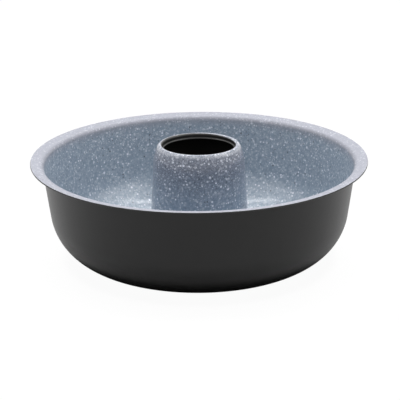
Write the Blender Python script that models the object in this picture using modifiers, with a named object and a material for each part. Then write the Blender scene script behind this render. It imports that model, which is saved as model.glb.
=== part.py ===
"""A plain round ring-cake pan with a tapered centre tube.

Lengths are metres, +Z is up. The origin is on the pan's axis, level with the flat underside that it stands on.
The pan is two pressed sheets: the pan body (floor, wall and flared rim) and the centre tube, whose foot
is rolled over the edge of a raised seat in the floor.
"""
from math import acos, atan2, ceil, cos, pi, radians, sin, tan

import bmesh
import bpy

# Pan body
RIM_RADIUS = 0.130          # outer edge of the flared rim
BODY_HEIGHT = 0.080         # top of the rim's outer edge above the table
BODY_SHEET = 0.0012         # thickness of the body's sheet
RIM_WIDTH = 0.0091          # from the rim's outer edge in to the bend, on the underside
RIM_RISE = radians(10.4)    # the rim slopes up and outward
RIM_BEND = 0.0028           # underside radius between rim and wall
WALL_TAPER = radians(7.6)   # the wall leans outward from the vertical
CORNER_RADIUS = 0.0433      # outer radius between wall and floor
SEAT_WIDTH = 0.0062         # flat of the raised seat around the opening
SEAT_BEND = 0.0016          # radius of each bend of the step up to the seat

# Centre tube
TUBE_HEIGHT = 0.0907        # top of the mouth above the table
TUBE_SHEET = 0.0010         # thickness of the tube's sheet
TUBE_TAPER = radians(3.5)   # the straight side leans inward from the vertical
TUBE_TOP_RADIUS = 0.0354    # where the straight side runs into the shoulder
SHOULDER_RADIUS = 0.0395    # large outer radius of the shoulder, above the straight side
SHOULDER_LEAN = radians(22.6)  # the shoulder leans this far from the vertical where the crown begins
CROWN_RADIUS = 0.0056       # small outer radius from the shoulder up to the mouth
MOUTH_INSET = 0.0071        # from the top of the straight side in to the bore of the mouth's neck
MOUTH_ROLL = 0.0016         # outer radius of the roll from the crown into the neck
NECK_DEPTH = 0.0036         # the ledge at the neck's end lies this far below the mouth's top
NECK_LEDGE = 0.0010         # the neck's end is turned in by this much
NECK_BEND = 0.0005          # upper radius between the neck and its ledge
BEAD_RADIUS = 0.0013        # half-round bead that rests on the seat
FLANGE_BEND = 0.0003        # upper radius of the bend into the foot's flange
FLANGE_WIDTH = 0.0042       # the foot's flange reaches this far out under the seat

# Clearances
SEAM_GAP = 0.0003           # between the two sheets wherever they lie together
FOOT_RAISE = 0.0006         # the foot's flange stays this far above the table

# Faces
STEPS = 64                  # sides of each turned shape
EDGE_ROUND = 0.0003         # rounding of the sheets' cut edges
FACET_SAG = 0.00008         # largest distance between an arc and its chords
WIDEST_TURN = radians(30.0)  # largest turn between neighbouring points of an arc


def arc(centre, radius, start, end):
    """Points on an arc from the start angle to the end angle, both included."""
    turn = min(WIDEST_TURN, 2.0 * acos(1.0 - min(1.0, FACET_SAG / radius)))
    count = max(2, ceil(abs(end - start) / turn))
    angles = [start + (end - start) * i / count for i in range(count + 1)]
    return [(centre[0] + radius * cos(a), centre[1] + radius * sin(a)) for a in angles]


def fillet(before, corner, after, radius):
    """Points that round the corner between two straight lines."""
    one = atan2(before[1] - corner[1], before[0] - corner[0])
    two = atan2(after[1] - corner[1], after[0] - corner[0])
    turn = (two - one + pi) % (2.0 * pi) - pi
    half = abs(turn) / 2.0
    reach = radius / sin(half)
    middle = one + turn / 2.0
    centre = (corner[0] + reach * cos(middle), corner[1] + reach * sin(middle))
    sign = 1.0 if turn > 0.0 else -1.0
    start = one - sign * pi / 2.0
    return arc(centre, radius, start, start - sign * (pi - abs(turn)))


def turned_shell(name, profile, sheet, edge_round, material, collection):
    """A sheet turned about Z: the profile is its outer face, and the sheet's thickness lies behind it."""
    mesh = bpy.data.meshes.new(name)
    shape = bmesh.new()
    points = [shape.verts.new((radius, 0.0, height)) for radius, height in profile]
    for first, second in zip(points, points[1:]):
        shape.edges.new((first, second))
    shape.to_mesh(mesh)
    shape.free()
    mesh.materials.append(material)
    shell = bpy.data.objects.new(name, mesh)
    collection.objects.link(shell)
    screw = shell.modifiers.new("turn", "SCREW")
    screw.axis = "Z"
    screw.angle = 2.0 * pi
    screw.steps = STEPS
    screw.render_steps = STEPS
    screw.use_merge_vertices = True
    screw.merge_threshold = 0.00001
    screw.use_smooth_shade = True
    thickness = shell.modifiers.new("sheet", "SOLIDIFY")
    thickness.thickness = sheet
    thickness.offset = -1.0
    thickness.use_even_offset = True
    thickness.use_quality_normals = True
    rounding = shell.modifiers.new("cut_edges", "BEVEL")
    rounding.width = edge_round
    rounding.segments = 2
    rounding.limit_method = "ANGLE"
    rounding.angle_limit = radians(50.0)
    return shell


def coat(name, colour, roughness, metallic):
    material = bpy.data.materials.new(name)
    material.use_nodes = True
    shader = material.node_tree.nodes["Principled BSDF"]
    shader.inputs["Base Color"].default_value = (*colour, 1.0)
    shader.inputs["Roughness"].default_value = roughness
    shader.inputs["Metallic"].default_value = metallic
    return material


# The step up to the seat leaves room for the tube's flange, which lies between the seat and the table.
seat_height = FOOT_RAISE + TUBE_SHEET + SEAM_GAP
seat_top = seat_height + BODY_SHEET
bead_centre = seat_top + SEAM_GAP + BEAD_RADIUS
side_start = bead_centre + BEAD_RADIUS


mouth_radius = TUBE_TOP_RADIUS - MOUTH_INSET


def tube_measures():
    """Centres of the shoulder's arc, the crown's arc and the mouth's roll, and the straight side's foot radius."""
    shoulder_x = TUBE_TOP_RADIUS - SHOULDER_RADIUS * cos(TUBE_TAPER)
    crown_x = shoulder_x + (SHOULDER_RADIUS - CROWN_RADIUS) * cos(SHOULDER_LEAN)
    roll_x = mouth_radius + MOUTH_ROLL
    roll_z = TUBE_HEIGHT - MOUTH_ROLL
    across = roll_x - crown_x
    down = (CROWN_RADIUS - MOUTH_ROLL) ** 2 - across ** 2
    crown_z = roll_z - down ** 0.5
    shoulder_z = crown_z - (SHOULDER_RADIUS - CROWN_RADIUS) * sin(SHOULDER_LEAN)
    tangent_z = shoulder_z + SHOULDER_RADIUS * sin(TUBE_TAPER)
    foot_radius = TUBE_TOP_RADIUS + (tangent_z - side_start) * tan(TUBE_TAPER)
    return (shoulder_x, shoulder_z), (crown_x, crown_z), (roll_x, roll_z), foot_radius


shoulder_centre, crown_centre, roll_centre, foot_radius = tube_measures()
opening_radius = foot_radius + SEAM_GAP


def body_profile():
    """The body's outer face, from the rim's edge down the wall and in along the floor to the opening."""
    rim_edge = (RIM_RADIUS, BODY_HEIGHT - BODY_SHEET)
    bend = (RIM_RADIUS - RIM_WIDTH, rim_edge[1] - RIM_WIDTH * tan(RIM_RISE))
    tangent_z = CORNER_RADIUS - CORNER_RADIUS * sin(WALL_TAPER)
    tangent = (bend[0] - (bend[1] - tangent_z) * tan(WALL_TAPER), tangent_z)
    corner_centre = (tangent[0] - CORNER_RADIUS * cos(WALL_TAPER), CORNER_RADIUS)
    seat_edge = opening_radius + SEAT_WIDTH
    step_foot = (seat_edge + seat_height, 0.0)
    step_head = (seat_edge, seat_height)
    opening = (opening_radius, seat_height)
    points = [rim_edge]
    points += fillet(rim_edge, bend, tangent, RIM_BEND)
    points += arc(corner_centre, CORNER_RADIUS, -WALL_TAPER, -pi / 2.0)
    points += fillet(points[-1], step_foot, step_head, SEAT_BEND)
    points += fillet(step_foot, step_head, opening, SEAT_BEND)
    points.append(opening)
    return points


def tube_profile():
    """The tube's outer face: from the neck's ledge up the neck, over the mouth and the shoulder, down the side,
    around the bead and out along the foot.
    """
    roll_angle = atan2(roll_centre[1] - crown_centre[1], roll_centre[0] - crown_centre[0])
    ledge_height = TUBE_HEIGHT - NECK_DEPTH
    ledge_edge = (mouth_radius - NECK_LEDGE, ledge_height)
    neck_foot = (mouth_radius, ledge_height)
    neck_head = (mouth_radius, roll_centre[1])
    flange_top = FOOT_RAISE + TUBE_SHEET
    bend = (foot_radius, flange_top)
    flange_edge = (foot_radius + FLANGE_WIDTH, flange_top)
    points = [ledge_edge]
    points += fillet(ledge_edge, neck_foot, neck_head, NECK_BEND)
    points += arc(roll_centre, MOUTH_ROLL, pi, roll_angle)
    points += arc(crown_centre, CROWN_RADIUS, roll_angle, SHOULDER_LEAN)[1:]
    points += arc(shoulder_centre, SHOULDER_RADIUS, SHOULDER_LEAN, TUBE_TAPER)[1:]
    points += arc((foot_radius, bead_centre), BEAD_RADIUS, pi / 2.0, -pi / 2.0)
    points += fillet(points[-1], bend, flange_edge, FLANGE_BEND)
    points.append(flange_edge)
    return points


def main():
    for existing in list(bpy.data.objects):
        bpy.data.objects.remove(existing, do_unlink=True)
    collection = bpy.data.collections.new("ring_cake_pan")
    bpy.context.scene.collection.children.link(collection)
    charcoal = coat("charcoal_coating", (0.030, 0.030, 0.032), 0.50, 0.0)
    granite = coat("granite_coating", (0.165, 0.205, 0.245), 0.38, 0.0)
    body = turned_shell("pan_body", body_profile(), BODY_SHEET, EDGE_ROUND, charcoal, collection)
    tube = turned_shell("centre_tube", tube_profile(), TUBE_SHEET, EDGE_ROUND, granite, collection)
    tube.parent = body


main()
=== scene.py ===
"""Looks of a smooth ring-cake pan: granite-effect coating inside, charcoal outside, in a white studio."""
from math import acos, atan2, ceil, cos, pi, radians, sin, tan

import bmesh
import bpy
from mathutils import Matrix, Vector


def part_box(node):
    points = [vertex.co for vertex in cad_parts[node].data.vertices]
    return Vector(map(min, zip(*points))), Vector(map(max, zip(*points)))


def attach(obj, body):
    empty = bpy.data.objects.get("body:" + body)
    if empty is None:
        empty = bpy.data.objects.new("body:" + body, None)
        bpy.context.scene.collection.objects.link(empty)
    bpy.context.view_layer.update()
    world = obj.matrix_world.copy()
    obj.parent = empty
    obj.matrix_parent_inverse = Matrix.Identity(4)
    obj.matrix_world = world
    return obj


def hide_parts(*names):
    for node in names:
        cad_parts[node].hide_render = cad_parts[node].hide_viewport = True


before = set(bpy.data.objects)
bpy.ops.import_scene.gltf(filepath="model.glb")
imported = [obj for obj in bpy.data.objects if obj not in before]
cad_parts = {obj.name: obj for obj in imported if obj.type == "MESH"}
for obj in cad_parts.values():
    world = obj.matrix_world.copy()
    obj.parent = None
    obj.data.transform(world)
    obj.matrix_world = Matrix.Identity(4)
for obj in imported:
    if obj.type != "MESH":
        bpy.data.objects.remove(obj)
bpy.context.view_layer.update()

BODY = "root"                    # the one body of a part without joints

# Heights that the frame gives
FOOT_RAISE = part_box("centre_tube")[0].z     # underside of the tube's foot above the table
TUBE_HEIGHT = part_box("centre_tube")[1].z    # top of the mouth

# The body's sheet
RIM_RADIUS = 0.130               # outer edge of the flared rim
BODY_HEIGHT = 0.080              # top of the rim's outer edge above the table
BODY_SHEET = 0.0012              # thickness
RIM_WIDTH = 0.0091               # from the rim's outer edge in to the bend, on the underside
RIM_RISE = radians(10.4)         # the rim slopes up and outward
RIM_BEND = 0.0028                # underside radius between rim and wall
WALL_TAPER = radians(7.6)        # the wall leans outward from the vertical
CORNER_RADIUS = 0.0433           # outer radius between wall and floor
SEAT_WIDTH = 0.0062              # flat of the raised seat around the opening
SEAT_BEND = 0.0016               # radius of each bend of the step up to the seat

# The tube's sheet
TUBE_SHEET = 0.0010              # thickness
TUBE_TAPER = radians(3.5)        # the straight side leans inward from the vertical
TUBE_TOP_RADIUS = 0.0354         # where the straight side runs into the shoulder
SHOULDER_RADIUS = 0.0395         # large outer radius of the shoulder
SHOULDER_LEAN = radians(22.6)    # the shoulder leans this far from the vertical where the crown begins
CROWN_RADIUS = 0.0056            # small outer radius from the shoulder up to the mouth
MOUTH_INSET = 0.0071             # from the top of the straight side in to the neck's bore
MOUTH_ROLL = 0.0016              # outer radius of the roll from the crown into the neck
NECK_DEPTH = 0.0036              # the ledge at the neck's end lies this far below the mouth's top
NECK_LEDGE = 0.0010              # the neck's end is turned in by this much
NECK_BEND = 0.0005               # upper radius between the neck and its ledge
BEAD_RADIUS = 0.0013             # half-round bead that rests on the seat
FLANGE_BEND = 0.0003             # upper radius of the bend into the foot's flange
FLANGE_WIDTH = 0.0042            # the foot's flange reaches this far out under the seat
SEAM_GAP = 0.0003                # between the two sheets wherever they lie together

# How finely the sheets are turned
SIDES = 288                      # faces around
EDGE_ROUND = 0.00035             # rounding of the cut edges
FACET_SAG = 0.000006             # largest distance between an arc and its chords
WIDEST_TURN = radians(9.0)       # largest turn between neighbouring points of an arc
LONGEST_RUN = 0.0040             # longest straight step along an outline
SHORTEST_RUN = 0.000001          # points closer than this are one point
RAIL_RADIUS = 0.020              # circle that the outlines are carried around
RIPPLE = 0.00002                 # unevenness of the pressed sheets, and the length of its waves
RIPPLE_LENGTH = 0.030
BODY_SEED = 3                    # starts of the unevenness
TUBE_SEED = 8

# Where the inner coating ends in the mouth, below its top, and over what height it thins out
COATING_END = 0.0001
COATING_FADE = 0.0008
BARE = -4.0                      # coating of a face that has none, far enough under 0 for an uneven edge

# The photograph's camera
PICTURE_WIDTH = 400              # pixels
FOCAL_PIXELS = 1500.0
SENSOR = 36.0                    # millimetres
AIM = Vector((0.00050, 0.0, 0.04475))
CAMERA_DISTANCE = 1.171
CAMERA_DROP = radians(18.95)     # the view looks down by this angle
CAMERA_ROLL = radians(-0.5)
CLIPPED = (0.05, 20.0)           # nearest and farthest that the camera sees


# Outlines of the sheets, in the plane of radius and height

def arc(centre, radius, start, end):
    """Points on an arc from the start angle to the end angle, both included."""
    turn = min(WIDEST_TURN, 2.0 * acos(1.0 - min(1.0, FACET_SAG / radius)))
    count = max(3, ceil(abs(end - start) / turn))
    angles = [start + (end - start) * i / count for i in range(count + 1)]
    return [Vector((centre[0] + radius * cos(a), centre[1] + radius * sin(a))) for a in angles]


def fillet(before, corner, after, radius):
    """Points that round the corner between two straight lines."""
    before, corner, after = Vector(before), Vector(corner), Vector(after)
    one = atan2(before.y - corner.y, before.x - corner.x)
    two = atan2(after.y - corner.y, after.x - corner.x)
    turn = (two - one + pi) % (2.0 * pi) - pi
    reach = radius / sin(abs(turn) / 2.0)
    middle = one + turn / 2.0
    centre = corner + reach * Vector((cos(middle), sin(middle)))
    sign = 1.0 if turn > 0.0 else -1.0
    start = one - sign * pi / 2.0
    return arc(centre, radius, start, start - sign * (pi - abs(turn)))


def fine_steps(points):
    """The same line with its long straight runs cut into shorter steps, and repeated points left out."""
    line = [Vector(points[0])]
    for point in points[1:]:
        start = line[-1].copy()
        run = (point - start).length
        if run > SHORTEST_RUN:
            steps = ceil(run / LONGEST_RUN)
            line += [start.lerp(point, i / steps) for i in range(1, steps + 1)]
    return line


def behind(line, thickness):
    """The back of the sheet: the line moved to the right of its direction, with corners kept square."""
    moved = []
    for i, point in enumerate(line):
        after = (line[min(i + 1, len(line) - 1)] - line[min(i, len(line) - 2)]).normalized()
        before = (line[max(i, 1)] - line[max(i - 1, 0)]).normalized()
        along = (before + after).normalized()
        side = Vector((along.y, -along.x))
        moved.append(point + side * thickness / along.dot(after))
    return moved


def sheet_outline(face, thickness, front_coat, back_coat):
    """A closed outline of the sheet whose outer face is given, with rounded cut edges.

    front_coat and back_coat tell how much of the inner coating a point of that side carries: 1 or more is
    covered, and 0 or less is bare. The cut edges are bare. The result is a list of points and a list of
    their coating.
    """
    face = fine_steps(face)
    back = behind(face, thickness)
    front_coats = [front_coat(p) for p in face]
    back_coats = [back_coat(p) for p in back]
    points, coats = face[1:-1], front_coats[1:-1]
    turns = ((face[-2], face[-1], back[-1], front_coats[-1], 0.0),
             (face[-1], back[-1], back[-2], 0.0, back_coats[-1]))
    points, coats = add_roundings(points, coats, turns)
    points, coats = points + back[-2:0:-1], coats + back_coats[-2:0:-1]
    turns = ((back[1], back[0], face[0], back_coats[0], 0.0),
             (back[0], face[0], face[1], 0.0, front_coats[0]))
    return add_roundings(points, coats, turns)


def add_roundings(points, coats, turns):
    """Adds the rounding of each turn, given by three corner points and the coating before and after it."""
    for before, corner, after, first, last in turns:
        rounding = fillet(before, corner, after, EDGE_ROUND)
        shares = [i / (len(rounding) - 1) for i in range(len(rounding))]
        points = points + rounding
        coats = coats + [first + (last - first) * share for share in shares]
    return points, coats


# Places that both sheets share around the seam in the floor
flange_top = FOOT_RAISE + TUBE_SHEET
seat_height = flange_top + SEAM_GAP
bead_centre = seat_height + BODY_SHEET + SEAM_GAP + BEAD_RADIUS
side_start = bead_centre + BEAD_RADIUS
mouth_radius = TUBE_TOP_RADIUS - MOUTH_INSET
roll_centre = Vector((mouth_radius + MOUTH_ROLL, TUBE_HEIGHT - MOUTH_ROLL))
lean = Vector((cos(SHOULDER_LEAN), sin(SHOULDER_LEAN)))
shoulder_x = TUBE_TOP_RADIUS - SHOULDER_RADIUS * cos(TUBE_TAPER)
crown_x = shoulder_x + (SHOULDER_RADIUS - CROWN_RADIUS) * lean.x
crown_drop = ((CROWN_RADIUS - MOUTH_ROLL) ** 2 - (roll_centre.x - crown_x) ** 2) ** 0.5
crown_centre = Vector((crown_x, roll_centre.y - crown_drop))
shoulder_centre = crown_centre - (SHOULDER_RADIUS - CROWN_RADIUS) * lean
side_end = shoulder_centre.y + SHOULDER_RADIUS * sin(TUBE_TAPER)
foot_radius = TUBE_TOP_RADIUS + (side_end - side_start) * tan(TUBE_TAPER)
opening_radius = foot_radius + SEAM_GAP


def body_face():
    """The body's outer face, from the rim's edge down the wall and in along the floor to the opening."""
    rim_edge = Vector((RIM_RADIUS, BODY_HEIGHT - BODY_SHEET))
    bend = rim_edge - RIM_WIDTH * Vector((1.0, tan(RIM_RISE)))
    tangent_z = CORNER_RADIUS * (1.0 - sin(WALL_TAPER))
    tangent = Vector((bend.x - (bend.y - tangent_z) * tan(WALL_TAPER), tangent_z))
    corner_centre = (tangent.x - CORNER_RADIUS * cos(WALL_TAPER), CORNER_RADIUS)
    seat_edge = opening_radius + SEAT_WIDTH
    step_foot = Vector((seat_edge + seat_height, 0.0))
    step_head = Vector((seat_edge, seat_height))
    opening = Vector((opening_radius, seat_height))
    points = [rim_edge] + fillet(rim_edge, bend, tangent, RIM_BEND)
    points += arc(corner_centre, CORNER_RADIUS, -WALL_TAPER, -pi / 2.0)
    points += fillet(points[-1], step_foot, step_head, SEAT_BEND)
    points += fillet(step_foot, step_head, opening, SEAT_BEND)
    return points + [opening]


def tube_face():
    """The tube's outer face: from the neck's ledge up the neck, over the mouth and the shoulder, down the
    side, around the bead and out along the foot.
    """
    roll_angle = atan2(roll_centre.y - crown_centre.y, roll_centre.x - crown_centre.x)
    neck_foot = Vector((mouth_radius, TUBE_HEIGHT - NECK_DEPTH))
    ledge_edge = neck_foot - Vector((NECK_LEDGE, 0.0))
    bend = Vector((foot_radius, flange_top))
    flange_edge = bend + Vector((FLANGE_WIDTH, 0.0))
    points = [ledge_edge] + fillet(ledge_edge, neck_foot, (mouth_radius, roll_centre.y), NECK_BEND)
    points += arc(roll_centre, MOUTH_ROLL, pi, roll_angle)
    points += arc(crown_centre, CROWN_RADIUS, roll_angle, SHOULDER_LEAN)
    points += arc(shoulder_centre, SHOULDER_RADIUS, SHOULDER_LEAN, TUBE_TAPER)
    points += arc((foot_radius, bead_centre), BEAD_RADIUS, pi / 2.0, -pi / 2.0)
    points += fillet(points[-1], bend, flange_edge, FLANGE_BEND)
    return points + [flange_edge]


def bare(point):
    return BARE


def coated(point):
    return 1.0


def coated_past_mouth(point):
    """The inner coating covers the side and the crown, and thins out just past the mouth's highest line.
    Under the seam there is none.
    """
    if point.y < seat_height + BODY_SHEET:
        return 0.0
    if point.x > roll_centre.x:
        return 1.0 + COATING_END / COATING_FADE
    return 0.5 + (COATING_END - TUBE_HEIGHT + point.y) / COATING_FADE


# Node trees

class Graph:
    """Adds nodes to a tree: a node from its type, its settings and the values or links of its sockets."""

    def __init__(self, tree):
        self.tree = tree

    def node(self, kind, settings=None, **sockets):
        node = self.tree.nodes.new(kind)
        for name, setting in (settings or {}).items():
            setattr(node, name, setting)
        for name, value in sockets.items():
            self.feed(node, name.replace("_", " "), value)
        return node

    def feed(self, node, name, value):
        """Links a socket of the node, or sets its value. Sockets that the mode hides are passed over."""
        socket = next(s for s in node.inputs if s.name == name and s.enabled)
        value = getattr(value, "socket", value)
        if isinstance(value, bpy.types.NodeSocket):
            self.tree.links.new(value, socket)
        else:
            socket.default_value = value

    def mix(self, first, second, share):
        """A colour between two colours."""
        node = self.node("ShaderNodeMix", {"data_type": "RGBA"}, Factor=share, A=first, B=second)
        return self.out(node, "Result").socket

    def out(self, node, name=None):
        """An output of the node as a value that can be reckoned with."""
        return Value(self, next(s for s in node.outputs if s.enabled and name in (None, s.name)))


class Value:
    """A number in a node tree. Sums, differences, products and comparisons of values add their Math nodes."""

    def __init__(self, graph, socket):
        self.graph = graph
        self.socket = socket

    def math(self, operation, first, second=0.0):
        node = self.graph.node("ShaderNodeMath", {"operation": operation})
        for socket, value in zip(node.inputs, (first, second)):
            value = getattr(value, "socket", value)
            if isinstance(value, bpy.types.NodeSocket):
                self.graph.tree.links.new(value, socket)
            else:
                socket.default_value = value
        return Value(self.graph, node.outputs[0])

    def __add__(self, other):
        return self.math("ADD", self, other)

    def __radd__(self, other):
        return self.math("ADD", other, self)

    def __sub__(self, other):
        return self.math("SUBTRACT", self, other)

    def __rsub__(self, other):
        return self.math("SUBTRACT", other, self)

    def __mul__(self, other):
        return self.math("MULTIPLY", self, other)

    def __rmul__(self, other):
        return self.math("MULTIPLY", other, self)

    def __lt__(self, other):
        return self.math("LESS_THAN", self, other)

    def root(self):
        return self.math("SQRT", self)

    def at_most(self, limit):
        return self.math("MINIMUM", self, limit)

    def at_least(self, limit):
        return self.math("MAXIMUM", self, limit)

    def ramp(self, low, high):
        """0 at low and 1 at high, with a soft start and end; high may lie under low."""
        node = self.graph.node("ShaderNodeMapRange", {"interpolation_type": "SMOOTHSTEP"}, Value=self)
        self.graph.feed(node, "From Min", low)
        self.graph.feed(node, "From Max", high)
        return self.graph.out(node, "Result")


# Coatings

CHARCOAL = (0.0070, 0.0070, 0.0072, 1.0)
CHARCOAL_WORN = (0.0112, 0.0109, 0.0106, 1.0)
GRANITE = (0.190, 0.243, 0.300, 1.0)
GRANITE_LIGHT = (0.262, 0.314, 0.376, 1.0)
GRANITE_RIM_SHEEN = (0.215, 0.222, 0.258, 1.0)        # painted sheen on the rim: a greyer, more neutral tone that stands for its washed-out highlight
TUBE_GRANITE = (0.150, 0.201, 0.267, 1.0)
TUBE_GRANITE_LIGHT = (0.210, 0.256, 0.320, 1.0)
TUBE_GRANITE_WARM = (0.112, 0.121, 0.163, 1.0)  # towards the tube's top
CREST_HIGHLIGHT = (0.33, 0.345, 0.385, 1.0)               # painted highlight: a paler band just outside the mouth's highest line
FLECK = (0.64, 0.66, 0.73, 1.0)
SPECK = (0.045, 0.052, 0.066, 1.0)
COATING_IOR = 1.46
GLAZE = 0.60                     # the clear top layer over the granite effect
GLAZE_ROUGHNESS = 0.14

# Paler patches: length, detail and share of a coarse and of a fine noise, and what is taken off their sum
CHARCOAL_PATCHES = ((0.020, 3.0, 0.6), (0.0006, 1.0, 0.5), 0.25)
GRANITE_PATCHES = ((0.007, 3.0, 0.6), (0.0024, 2.0, 2.6), 1.1)

# Spots of the granite effect: spacing, radius, share of the places that have a spot, how much this share
# grows where the coating is denser, strength, and a start that moves the pattern
MOTTLE = (0.0021, 0.00120, 0.85, 0.0, 0.26, 0.31)
FINE_FLECKS = (0.0019, 0.00078, 0.60, 0.38, 0.70, 0.52)
LARGE_FLECKS = (0.0028, 0.00095, 0.58, 0.22, 1.0, 1.13)
DARK_SPECKS = (0.0020, 0.00078, 0.16, 0.72, 1.0, 1.91)
START_WAY = (1.0, 1.7, 0.6)      # the direction in which the start moves a pattern
WAVE_LENGTH = 1.5                # waves in a spot's edge, in radii
WAVE_SIZE = 0.9
SMALLEST_SPOT = 0.4              # of the radius
SPOT_BLUR = 0.25                 # softness of a spot's edge, as a share of its size
FAINTEST_SPOT = 0.22             # strength of the faintest spots, and how much the strongest have more
SPOT_CONTRAST = 1.05
FLECK_STRENGTH = 1.08            # of all pale spots together
SPECK_STRENGTH = 0.8             # of all dark spots together

# Grit between the spots where the coating is denser: its noise, over which values of the noise it is pale
# and over which it is dark, and the strength of each
GRIT_NOISE = (0.0009, 1.0)       # length and detail, as for every noise below
PALE_GRIT = (0.54, 0.72)
PALE_GRIT_STRENGTH = 0.22
DARK_GRIT = (0.48, 0.30)
DARK_GRIT_STRENGTH = 0.45

# Roughness of the charcoal, how much noise changes it, and what the granite effect, its flecks and the
# plain rim add to it
ROUGHNESS = 0.37
ROUGHNESS_NOISE = (0.0012, 2.0)
ROUGHNESS_CHANGE = 0.10
GRANITE_ROUGHER = -0.03
FLECKS_ROUGHER = -0.06
RIM_ROUGHER = 0.24

# Orange peel of both coatings, and flecks that stand a little proud
PEEL_NOISE = (0.0011, 2.0)
PEEL_SHARE = 0.6
FLECKS_PROUD = 0.4
BUMP_STRENGTH = 0.22
BUMP_HEIGHT = 0.00006

# The uneven line where the granite effect ends: how far noise moves it, and over which values it fades
EDGE_NOISE = (0.0008, 2.0)
EDGE_CHANGE = 0.45
EDGE_FADE = (0.42, 0.58)

# Radii over which the body's coating turns greyer, duller and nearly plain, and how many flecks it loses.
# The greyer tone and the lost flecks are painted sheen, standing for the rim's washed-out highlight.
RIM_PLAIN = (0.1186, 0.1200)
RIM_FLECKS_LOST_TO_SHEEN = 0.62
# Heights over which the coatings get denser, and how dense the body's gets beside the tube's
BODY_DENSER = (0.040, 0.070)
BODY_DENSER_SHARE = 0.5
TUBE_DENSER = (0.036, 0.086)
WARMEST = 0.75                   # share of the warm tone at the tube's top
# Heights over which the painted highlight band on the crown comes in, going up, and those over which it does
# going down
CREST_HIGHLIGHT_RISE = (TUBE_HEIGHT - 0.0036, TUBE_HEIGHT - 0.0018)
CREST_HIGHLIGHT_FALL = (TUBE_HEIGHT - 0.0002, TUBE_HEIGHT - 0.0013)
CREST_HIGHLIGHT_NOISE = (0.0010, 1.0)
CREST_HIGHLIGHT_PATCHES = (0.30, 0.62)     # over which values of the noise the painted highlight band thickens
# How far into the mouth the coating reaches, where 1 is COATING_FADE: everywhere, more to the right, and
# more on both sides. It counts only near the mouth's top, so that the foot keeps its edge.
REACH = 0.06
REACH_RIGHT = 20.0               # for each metre to the right of the axis
REACH_SIDES = 560.0              # for each square metre of that distance squared
REACH_HEIGHTS = (TUBE_HEIGHT - 0.0020, TUBE_HEIGHT - 0.0012)


class Coating(Graph):
    """A coating's node tree. At hand are its Principled shader, and a point's place, height, radius from the
    axis and distance to the right.
    """

    def __init__(self, name):
        self.material = bpy.data.materials.new(name)
        self.material.use_nodes = True
        super().__init__(self.material.node_tree)
        self.shader = self.tree.nodes["Principled BSDF"]
        self.place = self.node("ShaderNodeTexCoord").outputs["Object"]
        parts = self.node("ShaderNodeSeparateXYZ", None, Vector=self.place)
        self.across, along, self.height = (self.out(parts, axis) for axis in "XYZ")
        self.radius = (self.across * self.across + along * along).root()

    def noise(self, length, detail):
        """Soft noise from 0 to 1 whose patches have about this length."""
        cloud = self.node("ShaderNodeTexNoise", None, Vector=self.place, Scale=1.0 / length, Detail=detail)
        return self.out(cloud, "Fac")

    def patches(self, coarse, fine, less):
        """Uneven patches from 0 to 1. coarse and fine are noises, each with its length, detail and share."""
        both = self.noise(*coarse[:2]) * coarse[2] + self.noise(*fine[:2]) * fine[2]
        return (both - less).ramp(0.0, 1.0)

    def moved(self, amount):
        """The place moved by an amount."""
        node = self.node("ShaderNodeVectorMath", {"operation": "ADD"})
        self.tree.links.new(self.place, node.inputs[0])
        node.inputs[1].default_value = amount
        return node.outputs[0]

    def wavy(self, place, length, amount):
        """The place pushed about by noise, so that round spots get uneven edges."""
        cloud = self.node("ShaderNodeTexNoise", None, Vector=place, Scale=1.0 / length, Detail=1.0)
        push = self.node("ShaderNodeVectorMath", {"operation": "MULTIPLY_ADD"})
        self.tree.links.new(cloud.outputs["Color"], push.inputs[0])
        push.inputs[1].default_value = (amount, amount, amount)
        self.tree.links.new(place, push.inputs[2])
        return push.outputs[0]

    def spots(self, kind, extra):
        """Spots of uneven size and strength, scattered in space. extra, from 0 to 1, tells how densely."""
        spacing, radius, share, more, strength, start = kind
        place = self.moved([start * way for way in START_WAY])
        place = self.wavy(place, radius * WAVE_LENGTH, radius * WAVE_SIZE)
        cells = self.node("ShaderNodeTexVoronoi", None, Vector=place, Scale=1.0 / spacing)
        chance = self.node("ShaderNodeSeparateColor", None, Color=cells.outputs["Color"])
        far = self.out(cells, "Distance") * spacing
        size = self.out(chance, "Green") * (radius * (1.0 - SMALLEST_SPOT)) + radius * SMALLEST_SPOT
        blue = self.out(chance, "Blue")
        depth = blue * blue * blue * SPOT_CONTRAST + FAINTEST_SPOT
        present = self.out(chance, "Red") < extra * more + share
        return far.ramp(size * (1.0 + SPOT_BLUR), size * (1.0 - SPOT_BLUR)) * present * depth * strength

    def granite_share(self, further):
        """1 where the granite effect covers the sheet and 0 elsewhere. further moves its uneven edge."""
        attribute = self.node("ShaderNodeAttribute", {"attribute_name": "coat"})
        edge = self.out(attribute, "Fac") + (self.noise(*EDGE_NOISE) - 0.5) * EDGE_CHANGE + further
        return edge.ramp(*EDGE_FADE)


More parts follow.
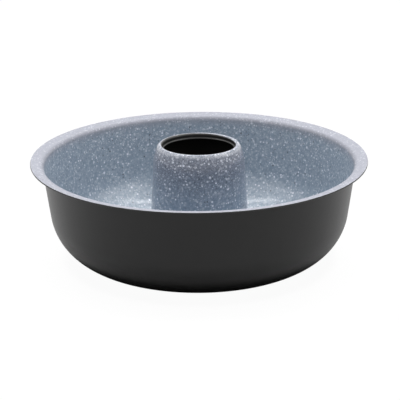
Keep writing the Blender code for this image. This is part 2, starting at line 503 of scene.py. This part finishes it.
def granite_tone(coating, tones, other, extra, plain):
    """Colour of the granite effect, and how much of it is fleck, from 0 to 1.

    tones are its ground colour, the colour of its paler clouds, and another colour that it turns to by other,
    from 0 to 1. extra, from 0 to 1, is how dense its spots are, and plain is where it has few. On the body's
    rim the other colour and the fewer flecks are painted sheen.
    """
    ground, pale, second = tones
    tone = coating.mix(ground, pale, coating.patches(*GRANITE_PATCHES))
    tone = coating.mix(tone, second, other)
    grit = coating.noise(*GRIT_NOISE)
    flecks = coating.spots(MOTTLE, extra) + coating.spots(FINE_FLECKS, extra)
    flecks = flecks + coating.spots(LARGE_FLECKS, extra) + grit.ramp(*PALE_GRIT) * extra * PALE_GRIT_STRENGTH
    # fewer flecks on the rim: painted sheen that washes them out
    flecks = (flecks * FLECK_STRENGTH).at_most(1.0) * (1.0 - plain * RIM_FLECKS_LOST_TO_SHEEN)
    dark = coating.spots(DARK_SPECKS, extra) + grit.ramp(*DARK_GRIT) * extra * DARK_GRIT_STRENGTH
    tone = coating.mix(tone, SPECK, dark.at_most(1.0) * (1.0 - plain) * SPECK_STRENGTH)
    return coating.mix(tone, FLECK, flecks), flecks


def two_coats(coating, inside, granite, flecks, plain):
    """The sheet's material: the granite effect where inside is 1 and charcoal where it is 0."""
    shader = coating.shader
    charcoal = coating.mix(CHARCOAL, CHARCOAL_WORN, coating.patches(*CHARCOAL_PATCHES))
    coating.feed(shader, "Base Color", coating.mix(charcoal, granite, inside))
    uneven = (coating.noise(*ROUGHNESS_NOISE) - 0.5) * ROUGHNESS_CHANGE
    roughness = ROUGHNESS + inside * GRANITE_ROUGHER + uneven
    roughness = roughness + inside * flecks * FLECKS_ROUGHER + inside * plain * RIM_ROUGHER
    coating.feed(shader, "Roughness", roughness)
    coating.feed(shader, "Coat Weight", inside * GLAZE * (1.0 - plain))
    shader.inputs["Coat Roughness"].default_value = GLAZE_ROUGHNESS
    shader.inputs["Coat IOR"].default_value = COATING_IOR
    shader.inputs["IOR"].default_value = COATING_IOR
    height = coating.noise(*PEEL_NOISE) * PEEL_SHARE + inside * flecks * FLECKS_PROUD
    bump = coating.node("ShaderNodeBump", None, Height=height, Strength=BUMP_STRENGTH, Distance=BUMP_HEIGHT)
    coating.feed(shader, "Normal", bump.outputs["Normal"])
    return coating.material


def body_coatings():
    """The body's finish: denser spots towards the top of the wall, and few on the rim, which is greyer; the
    greyer tone and the fewer flecks there are painted sheen.
    """
    coating = Coating("pan_coatings")
    plain = coating.radius.ramp(*RIM_PLAIN)
    extra = coating.height.ramp(*BODY_DENSER) * BODY_DENSER_SHARE
    # the rim's greyer tone and fewer flecks are painted sheen
    granite, flecks = granite_tone(coating, (GRANITE, GRANITE_LIGHT, GRANITE_RIM_SHEEN), plain, extra, plain)
    return two_coats(coating, coating.granite_share(0.0), granite, flecks, plain)


def tube_coatings():
    """The tube's finish: denser spots on a warmer ground towards the top, and a paler band on the crown,
    which is a painted highlight.
    """
    coating = Coating("tube_coatings")
    extra = coating.height.ramp(*TUBE_DENSER)
    tones = (TUBE_GRANITE, TUBE_GRANITE_LIGHT, TUBE_GRANITE_WARM)
    granite, flecks = granite_tone(coating, tones, extra * extra * WARMEST, extra, 0.0)
    # painted highlight: a paler band on the crown that widens the crown's own highlight
    crest_highlight = coating.height.ramp(*CREST_HIGHLIGHT_RISE) * coating.height.ramp(*CREST_HIGHLIGHT_FALL)
    granite = coating.mix(granite, CREST_HIGHLIGHT, crest_highlight * coating.noise(*CREST_HIGHLIGHT_NOISE).ramp(*CREST_HIGHLIGHT_PATCHES))
    further = coating.across * REACH_RIGHT + coating.across * coating.across * REACH_SIDES + REACH
    inside = coating.granite_share(further * coating.height.ramp(*REACH_HEIGHTS))
    return two_coats(coating, inside, granite, flecks, 0.0)


# Turned sheets

def turning_tree():
    """Geometry Nodes that carry a closed outline, given in the plane of X and Z, around the Z axis."""
    tree = bpy.data.node_groups.new("turned_sheet", "GeometryNodeTree")
    inputs = (("Outline", "NodeSocketGeometry"), ("Sides", "NodeSocketInt"),
              ("Rail Radius", "NodeSocketFloat"), ("Ripple", "NodeSocketFloat"),
              ("Ripple Scale", "NodeSocketFloat"), ("Seed", "NodeSocketInt"),
              ("Finish", "NodeSocketMaterial"))
    for label, kind in inputs:
        tree.interface.new_socket(label, in_out="INPUT", socket_type=kind)
    tree.interface.new_socket("Sheet", in_out="OUTPUT", socket_type="NodeSocketGeometry")
    graph = Graph(tree)
    given = graph.node("NodeGroupInput").outputs
    line = graph.node("GeometryNodeMeshToCurve", None, Mesh=given["Outline"]).outputs[0]
    position = graph.node("GeometryNodeInputPosition").outputs[0]
    parts = graph.node("ShaderNodeSeparateXYZ", None, Vector=position)
    across = graph.out(parts, "X") - Value(graph, given["Rail Radius"])
    flat = graph.node("ShaderNodeCombineXYZ", None, X=across, Y=graph.out(parts, "Z") * -1.0).outputs[0]
    profile = graph.node("GeometryNodeSetPosition", None, Geometry=line, Position=flat).outputs[0]
    rail = graph.node("GeometryNodeCurvePrimitiveCircle", None, Resolution=given["Sides"],
                      Radius=given["Rail Radius"]).outputs["Curve"]
    turned = graph.node("GeometryNodeCurveToMesh", None, Curve=rail, Profile_Curve=profile).outputs[0]
    cloud = graph.node("ShaderNodeTexNoise", {"noise_dimensions": "4D"}, W=given["Seed"],
                       Scale=given["Ripple Scale"], Detail=1.0)
    swell = (graph.out(cloud, "Fac") - 0.5) * Value(graph, given["Ripple"])
    radial = graph.node("ShaderNodeVectorMath", {"operation": "MULTIPLY"})
    tree.links.new(position, radial.inputs[0])
    radial.inputs[1].default_value = (1.0, 1.0, 0.0)
    outward = graph.node("ShaderNodeVectorMath", {"operation": "NORMALIZE"}, Vector=radial.outputs[0])
    push = graph.node("ShaderNodeVectorMath", {"operation": "SCALE"}, Vector=outward.outputs[0], Scale=swell)
    uneven = graph.node("GeometryNodeSetPosition", None, Geometry=turned, Offset=push.outputs[0]).outputs[0]
    smooth = graph.node("GeometryNodeSetShadeSmooth", None, Geometry=uneven).outputs[0]
    real = graph.node("GeometryNodeRealizeInstances", None, Geometry=smooth).outputs[0]
    done = graph.node("GeometryNodeSetMaterial", None, Geometry=real, Material=given["Finish"]).outputs[0]
    result = graph.node("NodeGroupOutput")
    tree.links.new(done, result.inputs["Sheet"])
    return tree


def outline_mesh(name, points, coats):
    """The closed outline as a loop of edges in the plane of X and Z, with its coat attribute."""
    mesh = bpy.data.meshes.new(name)
    shape = bmesh.new()
    ring = [shape.verts.new((p.x, 0.0, p.y)) for p in points]
    for first, second in zip(ring, ring[1:] + ring[:1]):
        shape.edges.new((first, second))
    shape.to_mesh(mesh)
    shape.free()
    coat = mesh.attributes.new("coat", "FLOAT", "POINT")
    coat.data.foreach_set("value", coats)
    return mesh


def turned_sheet(name, outline, tree, finish, seed):
    """One sheet as a plain mesh with its material, made by the turning tree."""
    piece = bpy.data.objects.new(name, outline_mesh(name + "_outline", *outline))
    bpy.context.scene.collection.objects.link(piece)
    modifier = piece.modifiers.new("turned", "NODES")
    modifier.node_group = tree
    values = {"Sides": SIDES, "Rail Radius": RAIL_RADIUS, "Ripple": RIPPLE,
              "Ripple Scale": 1.0 / RIPPLE_LENGTH, "Seed": seed, "Finish": finish}
    for item in tree.interface.items_tree:
        if item.in_out == "INPUT" and item.name in values:
            modifier[item.identifier] = values[item.name]
    piece.data.update()
    ready = piece.evaluated_get(bpy.context.evaluated_depsgraph_get())
    mesh = bpy.data.meshes.new_from_object(ready)
    piece.modifiers.remove(modifier)
    old = piece.data
    piece.data = mesh
    mesh.name = name
    bpy.data.meshes.remove(old)
    return piece


def make_pan():
    tree = turning_tree()
    body_outline = sheet_outline(body_face(), BODY_SHEET, bare, coated)
    tube_outline = sheet_outline(tube_face(), TUBE_SHEET, coated_past_mouth, bare)
    body = turned_sheet("pressed_body", body_outline, tree, body_coatings(), BODY_SEED)
    tube = turned_sheet("drawn_tube", tube_outline, tree, tube_coatings(), TUBE_SEED)
    pieces = ((body, "pan_body", "charcoal_coating"), (tube, "centre_tube", "granite_coating"))
    for piece, node, slot in pieces:
        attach(piece, BODY)
        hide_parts(node)


# Studio

WHITE = (1.0, 1.0, 1.0, 1.0)
PAN_CENTRE = (0.0, 0.0, 0.0)
FLOOR_SIZE = 6.0
FLOOR_TONE = (0.37, 0.37, 0.37, 1.0)
FLOOR_WHITE = 1.04               # brightness of the floor where it is seen as plain white
# Tones of the floor under the pan and close around it: a painted shadow under the pan, and a painted paler
# ring of light close around it. Each ends between two distances from the pan's axis.
CONTACT_SHADOW_TONE = (0.04, 0.04, 0.04, 1.0)
CONTACT_SHADOW_END = (0.100, 0.112)
NEAR_LIGHT_TONE = (0.58, 0.58, 0.58, 1.0)
NEAR_LIGHT_END = (0.145, 0.190)
FLOOR_SHADE_SHARE = 0.08         # how much of the floor's own shading shows; the rest is white
# In reflections the floor turns white between these two distances, because under the pan it lies in shadow.
# The lamps stand behind the pan, so the shadow's centre is a little in front.
SHADE_CENTRE = (0.01, -0.07, 0.0)
SHADE_END = (0.12, 0.335)
SURROUND = 0.42                  # the studio's light from all round
LIT_PLACE = Vector((0.0, 0.0, 0.05))  # the lamps face this
# Soft lights: name, place, width and depth, brightness on the scale where white is 1. The narrow strip draws
# the bright line in the corner between wall and floor.
LAMPS = (("overhead_strip", (0.0, -0.04, 1.80), (3.3, 0.20), 11.5),
         ("overhead", (0.0, 0.62, 1.75), (3.3, 0.6), 3.6),
         ("overhead_front", (0.0, -0.80, 1.60), (1.4, 0.5), 1.2),
         ("overhead_back", (0.0, 1.32, 1.57), (2.4, 1.25), 2.8),
         ("left_side", (-1.5, -0.35, 1.15), (1.3, 1.0), 1.25),
         ("right_side", (1.5, -0.35, 1.15), (1.3, 1.0), 1.9))


def seen_directly(graph):
    """Two values: 1 for the camera's rays, and 1 for rays of a reflection or a transmission. Both are 0 for
    rays that light a surface.
    """
    rays = graph.node("ShaderNodeLightPath")
    mirrored = graph.out(rays, "Is Glossy Ray").at_least(graph.out(rays, "Is Transmission Ray"))
    return graph.out(rays, "Is Camera Ray"), mirrored


def distance(graph, centre):
    """Distance of a point from a centre."""
    place = graph.node("ShaderNodeTexCoord").outputs["Object"]
    node = graph.node("ShaderNodeVectorMath", {"operation": "DISTANCE"})
    graph.tree.links.new(place, node.inputs[0])
    node.inputs[1].default_value = centre
    return Value(graph, node.outputs["Value"])


def floor_finish():
    """Mostly white where it is seen directly, with some of its own shading, which keeps the pan's shadow. Its
    tone adds a painted shadow under the pan and a painted paler ring of light around it.
    """
    finish = bpy.data.materials.new("studio_floor")
    finish.use_nodes = True
    graph = Graph(finish.node_tree)
    graph.tree.nodes.clear()
    far = distance(graph, PAN_CENTRE)
    # painted light and shadow in the floor's tone: a paler ring around the pan, and a dark tone under it
    around = graph.mix(NEAR_LIGHT_TONE, FLOOR_TONE, far.ramp(*NEAR_LIGHT_END))
    tone = graph.mix(CONTACT_SHADOW_TONE, around, far.ramp(*CONTACT_SHADOW_END))
    shade = graph.node("ShaderNodeBsdfDiffuse", None, Color=tone)
    white = graph.node("ShaderNodeEmission", None, Color=WHITE, Strength=FLOOR_WHITE)
    camera, mirrored = seen_directly(graph)
    clear = distance(graph, SHADE_CENTRE).ramp(*SHADE_END)
    share = (camera + mirrored * clear) * (1.0 - FLOOR_SHADE_SHARE)
    blend = graph.node("ShaderNodeMixShader")
    graph.tree.links.new(share.socket, blend.inputs[0])
    graph.tree.links.new(shade.outputs[0], blend.inputs[1])
    graph.tree.links.new(white.outputs[0], blend.inputs[2])
    graph.node("ShaderNodeOutputMaterial", None, Surface=blend.outputs[0])
    return finish


def make_floor():
    """A pale floor that the camera sees as white."""
    mesh = bpy.data.meshes.new("studio_floor")
    shape = bmesh.new()
    bmesh.ops.create_grid(shape, x_segments=1, y_segments=1, size=FLOOR_SIZE / 2.0)
    shape.to_mesh(mesh)
    shape.free()
    mesh.materials.append(floor_finish())
    floor = bpy.data.objects.new("studio_floor", mesh)
    bpy.context.scene.collection.objects.link(floor)


def make_world():
    world = bpy.data.worlds.new("studio")
    world.use_nodes = True
    bpy.context.scene.world = world
    graph = Graph(world.node_tree)
    back = graph.tree.nodes["Background"]
    camera, mirrored = seen_directly(graph)
    direct = camera + mirrored
    graph.feed(back, "Color", WHITE)
    graph.feed(back, "Strength", direct * (1.0 - SURROUND) + SURROUND)


def make_lights():
    for name, place, size, brightness in LAMPS:
        lamp = bpy.data.lights.new(name, "AREA")
        lamp.shape = "RECTANGLE"
        lamp.size, lamp.size_y = size
        lamp.energy = brightness * pi * size[0] * size[1]
        light = bpy.data.objects.new(name, lamp)
        light.location = place
        light.rotation_euler = (LIT_PLACE - Vector(place)).to_track_quat("-Z", "Y").to_euler()
        bpy.context.scene.collection.objects.link(light)


def make_camera():
    data = bpy.data.cameras.new("photo_camera")
    data.sensor_width = SENSOR
    data.lens = FOCAL_PIXELS / PICTURE_WIDTH * SENSOR
    data.clip_start, data.clip_end = CLIPPED
    camera = bpy.data.objects.new("photo_camera", data)
    bpy.context.scene.collection.objects.link(camera)
    forward = Vector((0.0, cos(CAMERA_DROP), -sin(CAMERA_DROP)))
    turn = Matrix.Rotation(pi / 2.0 - CAMERA_DROP, 4, "X") @ Matrix.Rotation(CAMERA_ROLL, 4, "Z")
    camera.matrix_world = Matrix.Translation(AIM - forward * CAMERA_DISTANCE) @ turn
    bpy.context.scene.camera = camera


make_pan()
make_floor()
make_world()
make_lights()
make_camera()
bpy.context.scene.view_settings.view_transform = "Standard"
